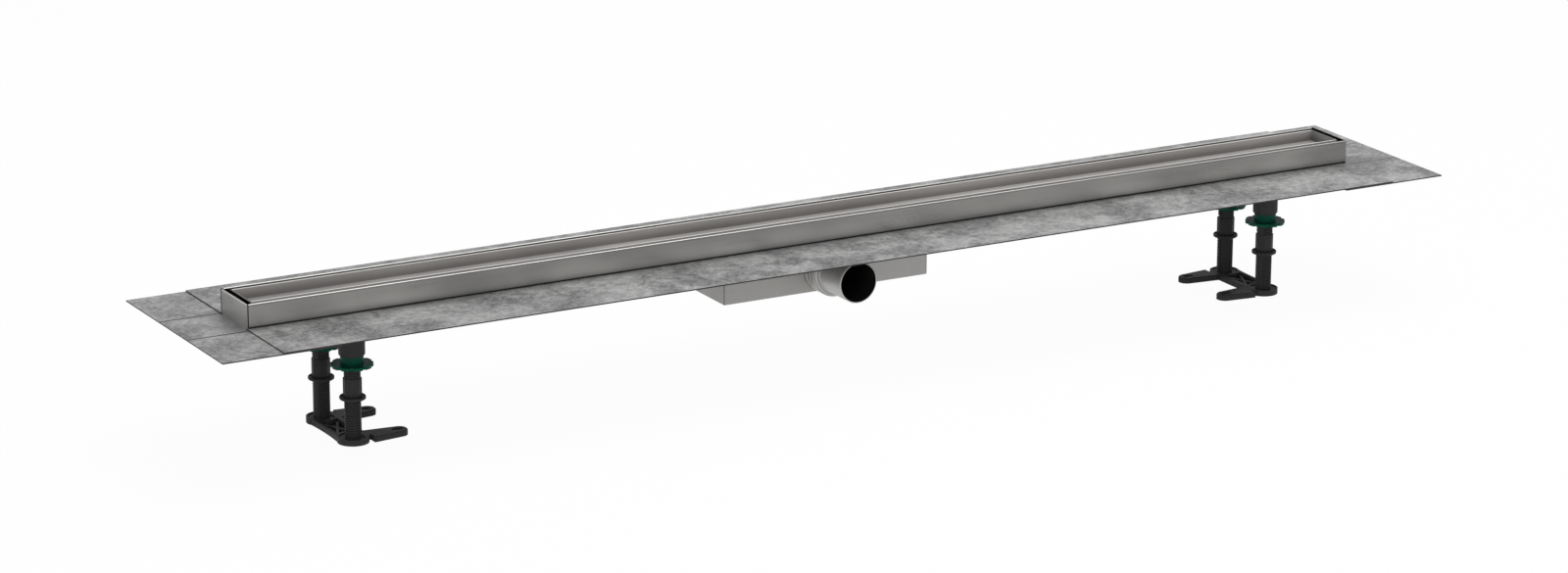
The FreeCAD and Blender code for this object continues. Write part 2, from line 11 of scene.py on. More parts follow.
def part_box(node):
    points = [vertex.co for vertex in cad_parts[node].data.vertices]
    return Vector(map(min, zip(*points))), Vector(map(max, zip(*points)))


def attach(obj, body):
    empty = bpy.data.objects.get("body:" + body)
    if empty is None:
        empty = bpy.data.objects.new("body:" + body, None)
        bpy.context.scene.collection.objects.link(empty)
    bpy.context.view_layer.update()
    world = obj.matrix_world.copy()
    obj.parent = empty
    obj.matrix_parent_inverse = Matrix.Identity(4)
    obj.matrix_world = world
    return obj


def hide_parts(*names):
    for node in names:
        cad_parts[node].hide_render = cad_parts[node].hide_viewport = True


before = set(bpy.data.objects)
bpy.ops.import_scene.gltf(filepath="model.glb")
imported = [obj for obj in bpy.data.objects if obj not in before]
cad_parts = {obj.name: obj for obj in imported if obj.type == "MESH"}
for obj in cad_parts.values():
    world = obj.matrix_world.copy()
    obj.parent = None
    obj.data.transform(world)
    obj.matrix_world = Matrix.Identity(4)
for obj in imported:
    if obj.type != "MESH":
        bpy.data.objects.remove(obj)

bl_info = {
    "name": "Shower drain dressing",
    "version": (1, 0, 0),
    "blender": (4, 5, 0),
    "location": "View3D > Sidebar > Drain",
    "description": "Finishes, screw threads and studio for a linear shower drain",
    "category": "Object",
}

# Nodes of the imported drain, by what they are made of
FLANGE_NODES = ["channel_body", "end_cap_left", "end_cap_right"] + [
    "corner_plate_%s_%s" % (end, side) for end in ("left", "right") for side in ("front", "back")]
RAIL_NODES = ["frame_rail_front", "frame_rail_back"]
FRAME_END_NODES = ["frame_end_left", "frame_end_right"]
CROSSBAR_NODES = ["frame_crossbar_%d" % number for number in range(1, 5)]
BOX_NODES = ["trap_sump", "foot_bracket_left", "foot_bracket_right"]
TRAP_NODES = ["trap_housing", "trap_lid", "hair_strainer"]
RUBBER_NODES = ["outlet_seal", "frame_seal_front", "frame_seal_back"]
SPACER_NODES = ["end_spacer_left", "end_spacer_right"]
LEGS = [(end, side) for end in ("left", "right") for side in ("front", "back")]
SOCKET_NODES = ["leg_socket_%s_%s" % leg for leg in LEGS]
NUT_NODES = ["adjusting_nut_%s_%s" % leg for leg in LEGS]
PLATE_NODES = ["foot_plate_left", "foot_plate_right"]

# Way that the smooth side of each post faces, in degrees round its axis
POST_FACING = {("left", "front"): 150.0, ("left", "back"): 195.0,
               ("right", "front"): 195.0, ("right", "back"): 240.0}

# Outlet: height of its axis, and radius within which a face of the pipe is its bore
OUTLET_HEIGHT = 0.1184
BORE_RADIUS = 0.0236

# Collar: start of each painted shade line from the drain's middle with its strength, and start
# of the cone
COLLAR_GROOVES = ((0.0350, 1.0), (0.0442, 1.0), (0.0514, 1.0), (0.0572, 0.5), (0.0610, 0.5))
COLLAR_CONE = 0.0576

# Heights: upper face of the flanges, lowest cut edge of their sheets, floor of the tray, and start
# of the painted highlights on the top edges of frame and tray
FLANGE_TOP = 0.1508
CUT_EDGES = 0.1473
TRAY_FLOOR = 0.1675
RIM_START = 0.1789
LIP_START = 0.1785

# Heights between which the painted light and shade on the rails' outside changes: at its foot,
# up its front and under its rim
RAIL_FOOT = (0.1520, 0.1600)
RAIL_FRONT = (0.1620, 0.1760)
RAIL_SHADOW = (0.1768, 0.1776)

# Distances from the middle, HALF across the drain and REACH along it: the seams beside the corner
# plates, the tray's outside and its end walls, the frame, and the trap box
SEAM_HALF = 0.0395
TRAY_HALF = 0.0274
TRAY_REACH = 0.7396
FRAME_HALF = 0.0378
FRAME_REACH = 0.750
BOX_HALF = 0.035
BOX_REACH = 0.139

# Frame's ends: painted black round the spacer up to the first distance along the drain, and
# painted shade in their open seams from the second distance across it at both corners and from the
# third at the back corner
JOINT_REACH = 0.74885
JOINT_HALF = 0.0358
JOINT_BACK = 0.0338

# Patterns of the finishes: how often they repeat in one metre, along, across and up the drain
SHEET_GRAIN = 300.0
SHEET_STRETCH = (1.0, 1.3, 1.0)
BRUSH_ALONG = 4.0
BRUSH_DRIFT = (2.8, 9.0, 14.0)
BRUSH_SMUDGE = (9.0, 22.0, 40.0)
ROLLED_PATCHES = (14.0, 22.0, 22.0)
ROLLED_GRAIN = (160.0, 900.0, 900.0)
PLASTIC_FLOW = (45.0, 45.0, 30.0)
PLASTIC_SCUFFS = (260.0, 260.0, 90.0)
PLASTIC_PORES = 1900.0
FLOOR_SPECKLE = 30.0

# Posts: peg, chamfer of the top, and outline of the ring as radius and height, which ends in the
# groove on the ring's upper face
PEG_RADIUS = 0.0079
PEG_TOP = 0.0058
TOP_CHAMFER = 0.0006
RING_OUTLINE = (
    (0.01435, 0.0516), (0.01465, 0.0517), (0.01525, 0.0523), (0.01535, 0.0528), (0.01535, 0.0543),
    (0.01525, 0.0547), (0.01475, 0.0552), (0.01375, 0.0553), (0.01360, 0.0541))

# Grip of a post, which stands in that groove: half its width, its top, how far in and how high its
# upper face is raised, and how its edges are rounded
GRIP_HALF = 0.0102
GRIP_TOP = 0.0770
GRIP_INSET = 0.0009
GRIP_CROWN = 0.00035
GRIP_ROUNDING = 0.00035

# Threads and smooth sides of the posts: heights of the lower ones, starts of the upper ones, how
# far below the post's top the upper thread ends, and how deep all of them sink into the shaft
LOWER_THREAD = (0.0062, 0.0508)
LOWER_SIDES = (0.0058, 0.0517)
UPPER_THREAD = 0.0774
UPPER_SIDES = 0.0765
THREAD_RUNOUT = 0.0008
SINK = 0.0003

# Shaping: faces round a turned piece, side of the small plane that is merged to the first point of
# an outline, distance at which points are merged, and the wedges that keep two sides of a piece
TURN_STEPS = 64
SEED_SIZE = 0.001
MERGE_DISTANCE = 0.00001
WEDGE_SIZE = 0.03
WEDGE_SPARE = 0.02

# Angles in degrees between two faces, over which an edge of the grip is rounded, and over which an
# edge of the post is shaded sharp
ROUNDED_OVER = 25
SHARP_OVER = 28

# Studio: side of the floor, and for each lamp its place, what it points at and its size
FLOOR_SIZE = 60
TOP_LAMP = ((0.45, -0.4, 3.0), (0.1, 0, 0.1), (3.2, 1.3))
SIDE_LAMP = ((-4.5, -4.0, 2.4), (0, 0, 0.1), (3.0, 2.0))

# Where the photograph was taken from in metres and degrees, its lens and sensor in millimetres, and
# how far the camera sees
CAMERA_PLACE = (-3.01699, -5.28746, 1.89351)
CAMERA_AZIMUTH = -29.39549
CAMERA_ELEVATION = 16.54776
CAMERA_ROLL = -0.26495
CAMERA_LENS = 121.70
CAMERA_SENSOR = 36.0
CAMERA_SIGHT = 200.0


# Properties

class SheetLook(PropertyGroup):
    """Steel of the channel, its flanges, the trap box and the outlet."""

    flange_dark: FloatVectorProperty(
        name="Flange dark", description="Colour of the dark clouds on the pickled flanges",
        subtype="COLOR", size=3, min=0, max=1, default=(0.110, 0.1105, 0.111))
    flange_light: FloatVectorProperty(
        name="Flange light", description="Colour of the pale clouds on the pickled flanges",
        subtype="COLOR", size=3, min=0, max=1, default=(0.455, 0.455, 0.452))
    cloud_length: FloatProperty(
        name="Cloud length", description="Usual size of one cloud on the flanges",
        unit="LENGTH", min=0.01, max=0.5, default=0.070)
    # Painted shade on the cut edges and in the end seams of the flange sheets
    edge_tone: FloatVectorProperty(
        name="Cut edge", description="Colour of the cut edges of the flange sheets",
        subtype="COLOR", size=3, min=0, max=1, default=(0.035, 0.035, 0.036))
    box_tone: FloatVectorProperty(
        name="Box tone", description="Colour of the folded trap box and the brackets",
        subtype="COLOR", size=3, min=0, max=1, default=(0.400, 0.393, 0.380))
    outlet_tone: FloatVectorProperty(
        name="Outlet tone", description="Colour of the turned collar and the outlet pipe",
        subtype="COLOR", size=3, min=0, max=1, default=(0.50, 0.495, 0.48))
    # Painted shade on the inner wall of the outlet pipe
    bore_tone: FloatVectorProperty(
        name="Bore tone", description="Colour of the dull inner wall of the outlet pipe",
        subtype="COLOR", size=3, min=0, max=1, default=(0.016, 0.016, 0.016))


class FrameLook(PropertyGroup):
    """Brushed steel of the frame and of the tray, with painted highlights on the top edges."""

    frame_tone: FloatVectorProperty(
        name="Frame tone", description="Colour of the brushed frame",
        subtype="COLOR", size=3, min=0, max=1, default=(0.368, 0.362, 0.350))
    # Painted light: the frame's brushed steel made lighter on its two ends
    end_tone: FloatVectorProperty(
        name="Frame end tone", description="Colour of the two ends of the frame",
        subtype="COLOR", size=3, min=0, max=1, default=(0.495, 0.491, 0.483))
    tray_tone: FloatVectorProperty(
        name="Tray tone", description="Colour of the brushed tray",
        subtype="COLOR", size=3, min=0, max=1, default=(0.38, 0.366, 0.356))
    # Painted highlight on the frame's top edges
    rim_tone: FloatVectorProperty(
        name="Rim tone", description="Colour of the polished top edges of the frame",
        subtype="COLOR", size=3, min=0, max=1, default=(0.46, 0.455, 0.447))
    # Painted highlight on the tray's top edges
    lip_tone: FloatVectorProperty(
        name="Lip tone", description="Colour of the polished top edges of the tray",
        subtype="COLOR", size=3, min=0, max=1, default=(0.80, 0.79, 0.775))
    # Painted shade in the open seams at the frame's corners and at the rails' foot, also the
    # painted black on the frame's ends
    seam_tone: FloatVectorProperty(
        name="Seam tone", description="Colour inside the open seams at the frame's corners",
        subtype="COLOR", size=3, min=0, max=1, default=(0.024, 0.024, 0.024))
    grain_width: FloatProperty(
        name="Grain width", description="Width of one brush mark",
        unit="LENGTH", min=0.0001, max=0.01, default=0.0009)


class PlasticLook(PropertyGroup):
    """Moulded plastics and rubber."""

    # Painted light: the black plastic of the posts, made lighter for the sockets and foot plates
    black_tone: FloatVectorProperty(
        name="Black plastic", description="Colour of the sockets and the foot plates",
        subtype="COLOR", size=3, min=0, max=1, default=(0.048, 0.048, 0.0483))
    # The same black plastic, painted darker for the threaded posts
    post_tone: FloatVectorProperty(
        name="Post plastic", description="Colour of the threaded posts",
        subtype="COLOR", size=3, min=0, max=1, default=(0.041, 0.041, 0.0413))
    green_tone: FloatVectorProperty(
        name="Green plastic", description="Colour of the adjusting nuts",
        subtype="COLOR", size=3, min=0, max=1, default=(0.0036, 0.078, 0.050))
    trap_tone: FloatVectorProperty(
        name="Trap plastic", description="Colour of the lift-out trap",
        subtype="COLOR", size=3, min=0, max=1, default=(0.30, 0.31, 0.32))
    rubber_tone: FloatVectorProperty(
        name="Rubber", description="Colour of the seals",
        subtype="COLOR", size=3, min=0, max=1, default=(0.012, 0.012, 0.012))


class ThreadSizes(PropertyGroup):
    """Moulded screw thread on the four posts."""

    pitch: FloatProperty(
        name="Pitch", description="Rise of the thread in one turn",
        unit="LENGTH", min=0.001, max=0.01, default=0.003)
    crest_radius: FloatProperty(
        name="Crest radius", description="Radius over the thread",
        unit="LENGTH", min=0.005, max=0.02, default=0.010)
    core_radius: FloatProperty(
        name="Core radius", description="Radius of the shaft at the bottom of the grooves",
        unit="LENGTH", min=0.005, max=0.02, default=0.0088)
    smooth_radius: FloatProperty(
        name="Smooth radius", description="Radius of the two sides without a thread",
        unit="LENGTH", min=0.005, max=0.02, default=0.0097)
    smooth_angle: FloatProperty(
        name="Smooth angle", description="How far round the post each smooth side reaches",
        subtype="ANGLE", min=0.1, max=3.0, default=math.radians(70))
    crest_width: FloatProperty(
        name="Crest width", description="Width of the flat crest",
        unit="LENGTH", min=0.0002, max=0.004, default=0.0012)
    root_width: FloatProperty(
        name="Root width", description="Width of the thread at the shaft",
        unit="LENGTH", min=0.0002, max=0.004, default=0.0021)
    steps: IntProperty(
        name="Steps", description="Faces in one turn of the thread", min=16, max=96, default=40)


class StudioLook(PropertyGroup):
    """Floor and lamps."""

    floor_tone: FloatVectorProperty(
        name="Floor", description="Colour of the floor",
        subtype="COLOR", size=3, min=0, max=1, default=(0.95, 0.95, 0.95))
    floor_drop: FloatProperty(
        name="Floor drop", description="Floor below the feet at rest, clear of lowered feet",
        subtype="DISTANCE", unit="LENGTH", min=0, max=0.1, default=0.0155)
    floor_glow: FloatProperty(
        name="Floor glow", description="Share of plain white that the camera sees on the floor",
        subtype="FACTOR", min=0, max=1, default=0.965)
    room_light: FloatProperty(
        name="Room light", description="Even light from all round", min=0, max=2, default=0.45)
    top_power: FloatProperty(
        name="Top lamp", description="Power of the wide lamp overhead",
        unit="POWER", min=0, max=2000, default=54)
    side_power: FloatProperty(
        name="Side lamp", description="Power of the wide lamp beside the camera",
        unit="POWER", min=0, max=2000, default=35)


# Node helpers for the finishes

def new_finish(name):
    """A material with its surface shader and the place on the object that patterns read."""
    finish = bpy.data.materials.new(name)
    finish.use_nodes = True
    tree = finish.node_tree
    place = tree.nodes.new("ShaderNodeTexCoord").outputs["Object"]
    return finish, tree, tree.nodes["Principled BSDF"], place


def stretched(tree, place, scale):
    """The place scaled along each axis, so that a pattern stretches."""
    mapping = tree.nodes.new("ShaderNodeMapping")
    mapping.inputs["Scale"].default_value = scale
    tree.links.new(place, mapping.inputs["Vector"])
    return mapping.outputs["Vector"]


def noise(tree, place, scale, detail=3.0, roughness=0.5, distortion=0.0):
    """A cloudy pattern from 0 to 1."""
    cloud = tree.nodes.new("ShaderNodeTexNoise")
    cloud.inputs["Scale"].default_value = scale
    cloud.inputs["Detail"].default_value = detail
    cloud.inputs["Roughness"].default_value = roughness
    cloud.inputs["Distortion"].default_value = distortion
    tree.links.new(place, cloud.inputs["Vector"])
    return cloud.outputs["Fac"]


def between(tree, value, low, high, to_low, to_high):
    """A value moved from one range to another, with smooth ends."""
    remap = tree.nodes.new("ShaderNodeMapRange")
    remap.interpolation_type = "SMOOTHSTEP"
    for name, number in (("From Min", low), ("From Max", high),
                         ("To Min", to_low), ("To Max", to_high)):
        remap.inputs[name].default_value = number
    tree.links.new(value, remap.inputs["Value"])
    return remap.outputs["Result"]


def worked_out(tree, operation, *values):
    """The result of one step of arithmetic on values, each a socket or a number."""
    step = tree.nodes.new("ShaderNodeMath")
    step.operation = operation
    for socket, value in zip(step.inputs, values):
        if isinstance(value, float):
            socket.default_value = value
        else:
            tree.links.new(value, socket)
    return step.outputs[0]


def sum_of(tree, first, second):
    """Two values added."""
    return worked_out(tree, "ADD", first, second)


def product_of(tree, first, second):
    """Two values multiplied."""
    return worked_out(tree, "MULTIPLY", first, second)


def capped(tree, value):
    """A value that goes no higher than 1."""
    return worked_out(tree, "MINIMUM", value, 1.0)


def above(tree, value, limit, soft=0.0002):
    """1 where a value is over a limit, after a soft step."""
    return between(tree, value, limit, limit + soft, 0.0, 1.0)


def below(tree, value, limit, soft=0.0002):
    """1 where a value is under a limit, before a soft step."""
    return between(tree, value, limit, limit + soft, 1.0, 0.0)


def band(tree, value, low, high, soft, peak=1.0):
    """A peak where a value lies from low to high, with soft sides beyond."""
    return product_of(tree, between(tree, value, low - soft, low, 0.0, peak),
                      below(tree, value, high, soft))


def two_tones(tree, share, dark, light):
    """A colour between two tones."""
    blend = tree.nodes.new("ShaderNodeMix")
    blend.data_type = "RGBA"
    blend.inputs[6].default_value = (*dark, 1)
    blend.inputs[7].default_value = (*light, 1)
    tree.links.new(share, blend.inputs[0])
    return blend.outputs[2]


def covered(tree, colour, mask, tone):
    """A colour with another tone over it where the mask is 1."""
    blend = tree.nodes.new("ShaderNodeMix")
    blend.data_type = "RGBA"
    blend.inputs[7].default_value = (*tone, 1)
    tree.links.new(mask, blend.inputs[0])
    tree.links.new(colour, blend.inputs[6])
    return blend.outputs[2]


def signed_part_of(tree, vector, axis):
    """A vector's part along one axis."""
    split = tree.nodes.new("ShaderNodeSeparateXYZ")
    tree.links.new(vector, split.inputs[0])
    return split.outputs[axis]


def part_of(tree, vector, axis):
    """A vector's part along one axis, without its sign."""
    return worked_out(tree, "ABSOLUTE", signed_part_of(tree, vector, axis))


def scaled_tone(tone, factor):
    """A tone made darker or lighter."""
    return tuple(min(1.0, part * factor) for part in tone)


def shaded(tree, colour, factor):
    """A colour made darker or lighter by a value that changes over the piece."""
    scale = tree.nodes.new("ShaderNodeVectorMath")
    scale.operation = "SCALE"
    tree.links.new(colour, scale.inputs[0])
    tree.links.new(factor, scale.inputs["Scale"])
    return scale.outputs[0]


def facing(tree):
    """The way that the surface faces."""
    return tree.nodes.new("ShaderNodeNewGeometry").outputs["True Normal"]


def roughened(tree, surface, height, depth, strength):
    """Fine relief on the surface."""
    relief = tree.nodes.new("ShaderNodeBump")
    relief.inputs["Strength"].default_value = strength
    relief.inputs["Distance"].default_value = depth
    tree.links.new(height, relief.inputs["Height"])
    tree.links.new(relief.outputs["Normal"], surface.inputs["Normal"])


# Finishes

def pickled_sheet(look):
    """Flange sheet: dull grey clouds over a fine grain, with painted shade and painted light."""
    finish, tree, surface, place = new_finish("pickled_flange_sheet")
    clouds = noise(tree, place, 1 / look.cloud_length, detail=5.0, roughness=0.6, distortion=0.4)
    wide = noise(tree, stretched(tree, place, SHEET_STRETCH), 0.33 / look.cloud_length, detail=1.0)
    patches = noise(tree, place, 8.0 / look.cloud_length, detail=4.0, roughness=0.65)
    grain = noise(tree, place, SHEET_GRAIN, detail=2.0, roughness=0.6)
    tone = between(tree, clouds, 0.38, 0.62, 0.08, 0.56)
    tone = sum_of(tree, tone, between(tree, wide, 0.35, 0.65, -0.06, 0.10))
    tone = sum_of(tree, tone, between(tree, patches, 0.3, 0.7, -0.14, 0.30))
    tone = sum_of(tree, tone, between(tree, grain, 0.3, 0.7, -0.13, 0.19))
    tone = product_of(tree, tone, beside_frame(tree, place))
    colour = two_tones(tree, tone, look.flange_dark, look.flange_light)
    # Painted light: the sheet grows lighter towards and past the frame's right end
    colour = shaded(tree, colour, between(tree, signed_part_of(tree, place, "X"),
                                          FRAME_REACH - 0.06, FRAME_REACH + 0.04, 1.0, 1.13))
    colour = covered(tree, colour, end_seams(tree, place), look.edge_tone)
    # Painted shade on the upright cut edges of the sheets
    edges = product_of(tree, between(tree, part_of(tree, facing(tree), "Z"), 0.3, 0.7, 1.0, 0.0),
                       above(tree, part_of(tree, place, "Z"), CUT_EDGES))
    tree.links.new(covered(tree, colour, edges, look.edge_tone), surface.inputs["Base Color"])
    tree.links.new(between(tree, patches, 0.2, 0.8, 0.46, 0.62), surface.inputs["Roughness"])
    surface.inputs["Metallic"].default_value = 0.55
    roughened(tree, surface, grain, depth=0.00015, strength=0.22)
    return finish


def beside_frame(tree, place):
    """Painted shade: darker close to the foot of the frame's long sides, less so past its ends."""
    across = between(tree, part_of(tree, place, "Y"), FRAME_HALF, FRAME_HALF + 0.025, 0.40, 1.0)
    past_end = between(tree, part_of(tree, place, "X"), FRAME_REACH + 0.004, FRAME_REACH + 0.046,
                       0.0, 0.60)
    return capped(tree, sum_of(tree, across, past_end))


def end_seams(tree, place):
    """Up to 1 for painted shade in the thin seams between the strip and the corner plates at each
    end.
    """
    seams = band(tree, part_of(tree, place, "Y"), SEAM_HALF - 0.0012, SEAM_HALF + 0.0012, 0.0006)
    past_end = above(tree, part_of(tree, place, "X"), FRAME_REACH + 0.0001, 0.0001)
    tighter = between(tree, signed_part_of(tree, place, "X"), -0.1, 0.1, 1.0, 0.4)
    return product_of(tree, seams, product_of(tree, past_end, tighter))


def top_edge(tree, place):
    """1 on the top edges of the frame, where a highlight is painted."""
    return above(tree, part_of(tree, place, "Z"), RIM_START)


def tray_lips(tree, place):
    """1 on the top edges of the tray's walls, where a highlight is painted."""
    return above(tree, part_of(tree, place, "Z"), LIP_START)


def tray_end_lips(tree, place):
    """1 on the top edges of the tray's end walls, which get no painted highlight."""
    return product_of(tree, tray_lips(tree, place),
                      above(tree, part_of(tree, place, "X"), TRAY_REACH, 0.0003))


def tray_outside(tree, place):
    """1 on the tray's long outer walls, painted lighter in the shade of their narrow gap."""
    return product_of(tree, below(tree, part_of(tree, place, "Z"), LIP_START),
                      above(tree, part_of(tree, place, "Y"), TRAY_HALF - 0.0002, 0.0001))


def tray_depth(tree, place):
    """Painted light and shade: brighter up high and on the floor, darker on the end walls."""
    height = between(tree, part_of(tree, place, "Z"), TRAY_FLOOR, LIP_START, 0.60, 1.12)
    ends = between(tree, part_of(tree, facing(tree), "X"), 0.4, 0.8, 1.0, 0.62)
    floor = between(tree, part_of(tree, facing(tree), "Z"), 0.4, 0.8, 0.0, 0.48)
    along = between(tree, signed_part_of(tree, place, "X"), -0.7, 0.7, 0.93, 1.06)
    return product_of(tree, sum_of(tree, product_of(tree, height, ends), floor), along)


def rail_height(tree, place):
    """Painted light and shade on the rails: lighter low down, darker under the rim and at the foot.
    """
    height = part_of(tree, place, "Z")
    front = product_of(tree, between(tree, height, *RAIL_FRONT, 1.14, 0.95),
                       between(tree, height, *RAIL_FOOT, 0.72, 1.0))
    return product_of(tree, front, between(tree, height, *RAIL_SHADOW, 1.0, 0.65))


def rail_foot(tree, place):
    """Painted shade, up to 1, on the lowest edge of the rails."""
    return between(tree, part_of(tree, place, "Z"), FLANGE_TOP + 0.0016, FLANGE_TOP + 0.0034,
                   0.5, 0.0)


def end_joints(tree, place):
    """Up to 1 on the frame's ends: painted black round the spacer and painted shade down the
    corners.
    """
    inside = below(tree, part_of(tree, place, "X"), JOINT_REACH, 0.0001)
    corners = between(tree, part_of(tree, place, "Y"), JOINT_HALF, JOINT_HALF + 0.0001, 0.0, 0.2)
    back = above(tree, signed_part_of(tree, place, "Y"), JOINT_BACK)
    return capped(tree, sum_of(tree, inside, sum_of(tree, corners, back)))


def brushed_steel(name, look, tone, roughness, metal, waves, layers, shade=None, joints=None):
    """Steel brushed along the drain, with soft waves of tone.

    Each layer is a mask and the tone laid over it, mostly painted highlights, light and shade;
    shade paints light and shade over the piece's tone; the last mask paints black and seam shade.
    """
    finish, tree, surface, place = new_finish(name)
    across = 1 / look.grain_width
    marks = noise(tree, stretched(tree, place, (BRUSH_ALONG, across, across)), 1.0,
                  detail=3.0, roughness=0.65)
    drift = noise(tree, stretched(tree, place, BRUSH_DRIFT), 1.0,
                  detail=2.0, roughness=0.5, distortion=0.6)
    smudge = noise(tree, stretched(tree, place, BRUSH_SMUDGE), 1.0, detail=1.5, roughness=0.45)
    share = between(tree, drift, 0.34, 0.66, 0.5 - waves, 0.5 + waves)
    share = sum_of(tree, share, between(tree, marks, 0.2, 0.8, -0.05, 0.05))
    share = sum_of(tree, share, between(tree, smudge, 0.25, 0.75, -0.07, 0.07))
    colour = two_tones(tree, share, scaled_tone(tone, 0.78), scaled_tone(tone, 1.22))
    if shade:
        colour = shaded(tree, colour, shade(tree, place))
    for mask, over in layers:
        colour = covered(tree, colour, mask(tree, place), over)
    surface.inputs["Metallic"].default_value = metal
    if joints:
        joint = joints(tree, place)
        colour = covered(tree, colour, joint, scaled_tone(look.seam_tone, 0.3))
        tree.links.new(between(tree, joint, 0.0, 1.0, 1.0, 0.0), surface.inputs["Metallic"])
        surface.inputs["Specular IOR Level"].default_value = 0.0
    tree.links.new(colour, surface.inputs["Base Color"])
    tree.links.new(between(tree, sum_of(tree, marks, smudge), 0.6, 1.4,
                           roughness - 0.05, roughness + 0.07), surface.inputs["Roughness"])
    roughened(tree, surface, marks, depth=0.00004, strength=0.15)
    return finish


def box_folds(tree, place):
    """1 on the upright folds of the trap box, where shade is painted."""
    folds = band(tree, part_of(tree, place, "X"), BOX_REACH - 0.0008, BOX_REACH + 0.0002, 0.0002)
    return product_of(tree, folds, above(tree, part_of(tree, place, "Y"), BOX_HALF - 0.0010))


def collar_marks(tree, place):
    """Up to 1 for painted shade in the collar's turned grooves, and a little on its cone."""
    along = part_of(tree, place, "Y")
    marks = between(tree, along, COLLAR_CONE, COLLAR_CONE + 0.002, 0.0, 0.35)
    for start, strength in COLLAR_GROOVES:
        marks = sum_of(tree, marks,
                       band(tree, along, start - 0.0002, start + 0.0014, 0.0004, strength))
    return marks


def inside_pipe(tree, place):
    """1 on the inner wall of the outlet pipe, where shade is painted."""
    centred = tree.nodes.new("ShaderNodeVectorMath")
    centred.operation = "SUBTRACT"
    centred.inputs[1].default_value = (0, 0, OUTLET_HEIGHT)
    flat = tree.nodes.new("ShaderNodeVectorMath")
    flat.operation = "MULTIPLY"
    flat.inputs[1].default_value = (1, 0, 1)
    reach = tree.nodes.new("ShaderNodeVectorMath")
    reach.operation = "LENGTH"
    tree.links.new(place, centred.inputs[0])
    tree.links.new(centred.outputs[0], flat.inputs[0])
    tree.links.new(flat.outputs[0], reach.inputs[0])
    return below(tree, reach.outputs["Value"], BORE_RADIUS, 0.0003)


def pipe_height(tree, place):
    """Painted shadow: brighter on the lower half of the outlet pipe, darker on its upper half."""
    return between(tree, part_of(tree, place, "Z"), OUTLET_HEIGHT - 0.008, OUTLET_HEIGHT + 0.014,
                   1.14, 0.74)


def rolled_steel(name, tone, roughness, metal, shade=None, mask=None, mask_tone=None):
    """Plain rolled sheet: an even tone with faint patches, with light and shade painted over it."""
    finish, tree, surface, place = new_finish(name)
    patches = noise(tree, stretched(tree, place, ROLLED_PATCHES), 1.0,
                    detail=3.0, roughness=0.5, distortion=0.3)
    grain = noise(tree, stretched(tree, place, ROLLED_GRAIN), 1.0, detail=2.0, roughness=0.6)
    share = sum_of(tree, between(tree, patches, 0.3, 0.7, 0.45, 0.55),
                   between(tree, grain, 0.2, 0.8, -0.04, 0.04))
    colour = two_tones(tree, share, scaled_tone(tone, 0.82), scaled_tone(tone, 1.18))
    if shade:
        colour = shaded(tree, colour, shade(tree, place))
    if mask:
        colour = covered(tree, colour, mask(tree, place), mask_tone)
    tree.links.new(colour, surface.inputs["Base Color"])
    tree.links.new(between(tree, patches, 0.2, 0.8, roughness - 0.04, roughness + 0.06),
                   surface.inputs["Roughness"])
    surface.inputs["Metallic"].default_value = metal
    roughened(tree, surface, grain, depth=0.00004, strength=0.1)
    return finish


def moulded_plastic(name, tone, roughness, gloss, spread=0.16):
    """Injection-moulded plastic: fine spark-eroded grain, faint flow patches and scuffs."""
    finish, tree, surface, place = new_finish(name)
    flow = noise(tree, stretched(tree, place, PLASTIC_FLOW), 1.0,
                 detail=3.0, roughness=0.55, distortion=0.4)
    pores = noise(tree, place, PLASTIC_PORES, detail=2.0, roughness=0.5)
    scuffs = noise(tree, stretched(tree, place, PLASTIC_SCUFFS), 1.0, detail=4.0, roughness=0.7)
    share = sum_of(tree, between(tree, flow, 0.3, 0.7, 0.3, 0.6),
                   between(tree, scuffs, 0.62, 0.8, 0.0, 0.2))
    share = sum_of(tree, share, between(tree, pores, 0.2, 0.8, -0.08, 0.08))
    tree.links.new(two_tones(tree, share, scaled_tone(tone, 1 - spread),
                             scaled_tone(tone, 1 + spread)), surface.inputs["Base Color"])
    tree.links.new(between(tree, sum_of(tree, flow, scuffs), 0.6, 1.4,
                           roughness - 0.06, roughness + 0.08), surface.inputs["Roughness"])
    surface.inputs["Specular IOR Level"].default_value = gloss
    roughened(tree, surface, pores, depth=0.00004, strength=0.15)
    return finish


def dress(names, finish):
    """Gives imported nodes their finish."""
    for name in names:
        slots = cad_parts[name].data.materials
        slots.clear()
        slots.append(finish)


# Shaping helpers

def deselect_all():
    """Nothing stays selected, in object mode."""
    if bpy.context.object and bpy.context.object.mode != "OBJECT":
        bpy.ops.object.mode_set(mode="OBJECT")
    bpy.ops.object.select_all(action="DESELECT")


def outline_object(name, points, closed):
    """An outline in the XZ plane, drawn from one point by extrusion."""
    deselect_all()
    bpy.ops.mesh.primitive_plane_add(size=SEED_SIZE, location=(0, 0, 0))
    drawn = bpy.context.object
    drawn.name = name
    bpy.ops.object.mode_set(mode="EDIT")
    bpy.ops.mesh.merge(type="CENTER")
    bpy.ops.mesh.select_all(action="SELECT")
    bpy.ops.transform.translate(value=(points[0][0], 0, points[0][1]))
    for start, stop in zip(points, points[1:]):
        bpy.ops.mesh.extrude_region_move(TRANSFORM_OT_translate={
            "value": (stop[0] - start[0], 0, stop[1] - start[1])})
    if closed:
        bpy.ops.object.mode_set(mode="OBJECT")
        ends = (drawn.data.vertices[0], drawn.data.vertices[len(points) - 1])
        for vertex in drawn.data.vertices:
            vertex.select = vertex in ends
        bpy.ops.object.mode_set(mode="EDIT")
        bpy.ops.mesh.select_mode(type="VERT")
        bpy.ops.mesh.edge_face_add()
    bpy.ops.object.mode_set(mode="OBJECT")
    return drawn


